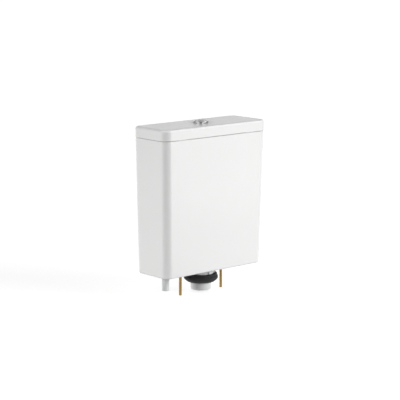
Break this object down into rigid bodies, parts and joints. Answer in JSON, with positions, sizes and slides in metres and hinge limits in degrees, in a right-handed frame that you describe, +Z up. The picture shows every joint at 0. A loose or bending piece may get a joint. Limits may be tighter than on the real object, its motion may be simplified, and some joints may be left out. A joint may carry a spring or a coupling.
{
  "type": "toilet cistern",
  "caption": "Slim white close-coupled toilet cistern: tapered glazed tank, lift-off lid, chrome two-part push button, flush valve tower, float fill valve and pan bolts",
  "frame": {"origin": "on the flush outlet's axis in the plane of the tank's foot, midway between the two pan bolts", "axes": "+Z up, +Y towards the wall, +X to the right seen from the front"},
  "size_m": [0.37, 0.141, 0.4797],
  "materials": {
    "china": "glossy white glaze",
    "chrome": "polished chrome plate",
    "white_plastic": "moulded white plastic",
    "grey_plastic": "moulded grey plastic",
    "blue_plastic": "moulded blue plastic",
    "black_rubber": "black rubber",
    "red_rubber": "red-brown seal rubber",
    "steel": "plain stainless steel",
    "brass": "plain brass"
  },
  "bodies": {
    "tank": {"cistern_body": "china", "lid_pad_front_left": "white_plastic", "lid_pad_front_right": "white_plastic", "lid_pad_back_left": "white_plastic", "lid_pad_back_right": "white_plastic", "valve_base": "white_plastic", "base_washer": "black_rubber", "tail_back_nut": "white_plastic", "doughnut_seal": "black_rubber", "valve_tower": "grey_plastic", "tower_head": "blue_plastic", "lever_pin": "steel", "inlet_shank": "white_plastic", "shank_washer": "black_rubber", "shank_nut": "white_plastic", "inlet_filter": "blue_plastic", "fill_valve_head": "white_plastic", "diaphragm": "black_rubber", "head_cap": "blue_plastic", "fill_lever_pin": "steel", "silencer_tube": "grey_plastic", "pan_bolt_left": "brass", "pan_bolt_right": "brass", "bolt_rubber_left": "black_rubber", "bolt_rubber_right": "black_rubber", "bolt_washer_left": "steel", "bolt_washer_right": "steel"},
    "lid": {"cistern_lid": "china", "button_bezel": "chrome", "bezel_washer": "black_rubber", "bezel_nut": "white_plastic", "full_button_spring": "steel", "half_button_spring": "steel"},
    "full_button": {"full_button": "chrome", "full_push_rod": "white_plastic"},
    "half_button": {"half_button": "chrome", "half_push_rod": "white_plastic"},
    "full_plunger": {"full_plunger": "white_plastic"},
    "lift_lever": {"lift_lever": "blue_plastic"},
    "flush_valve": {"overflow_tube": "white_plastic", "flush_seal": "red_rubber", "seal_retainer": "white_plastic", "lift_bail": "blue_plastic"},
    "half_trip": {"half_plunger": "white_plastic", "half_flush_float": "blue_plastic"},
    "fill_float": {"fill_float": "white_plastic"},
    "fill_lever": {"fill_lever": "grey_plastic", "bleed_pad": "black_rubber"},
    "level_screw": {"level_screw": "grey_plastic", "level_adjuster": "blue_plastic"}
  },
  "joints": [
    {"name": "lid_lift", "type": "slide", "parent": "tank", "child": "lid", "axis": [0, 0, 1], "range_m": [0, 0.15]},
    {"name": "full_press", "type": "slide", "parent": "lid", "child": "full_button", "axis": [0, 0, -1], "range_m": [0, 0.008], "stiffness_N_per_m": 400, "springref_m": -0.008, "deforming": ["full_button_spring"]},
    {"name": "half_press", "type": "slide", "parent": "lid", "child": "half_button", "axis": [0, 0, -1], "range_m": [0, 0.008], "stiffness_N_per_m": 400, "springref_m": -0.008, "deforming": ["half_button_spring"]},
    {"name": "full_plunger_slide", "type": "slide", "parent": "tank", "child": "full_plunger", "axis": [0, 0, -1], "range_m": [0, 0.008]},
    {"name": "lift_lever_turn", "type": "hinge", "parent": "tank", "child": "lift_lever", "pos_m": [0.025, 0, 0.278], "axis": [0, 1, 0], "range_deg": [0, 33.2]},
    {"name": "valve_lift", "type": "slide", "parent": "tank", "child": "flush_valve", "axis": [0, 0, 1], "range_m": [0, 0.01257]},
    {"name": "half_trip_slide", "type": "slide", "parent": "tank", "child": "half_trip", "axis": [0, 0, -1], "range_m": [0, 0.008]},
    {"name": "float_slide", "type": "slide", "parent": "tank", "child": "fill_float", "axis": [0, 0, 1], "range_m": [0, 0.018]},
    {"name": "fill_lever_turn", "type": "hinge", "parent": "tank", "child": "fill_lever", "pos_m": [-0.12, 0, 0.306], "axis": [0, -1, 0], "range_deg": [0, 37.5]},
    {"name": "level_screw_turn", "type": "hinge", "parent": "fill_float", "child": "level_screw", "pos_m": [-0.092, 0, 0.25], "axis": [0, 0, 1], "continuous": true}
  ],
  "couplings": [
    {"joint": "full_plunger_slide", "follows": "full_press", "ratio": 1},
    {"joint": "lift_lever_turn", "follows": "full_press", "rad_per_m": 72.438},
    {"joint": "valve_lift", "follows": "full_press", "ratio": 1.5714},
    {"joint": "half_trip_slide", "follows": "half_press", "ratio": 1},
    {"joint": "fill_lever_turn", "follows": "float_slide", "rad_per_m": 36.36}
  ]
}
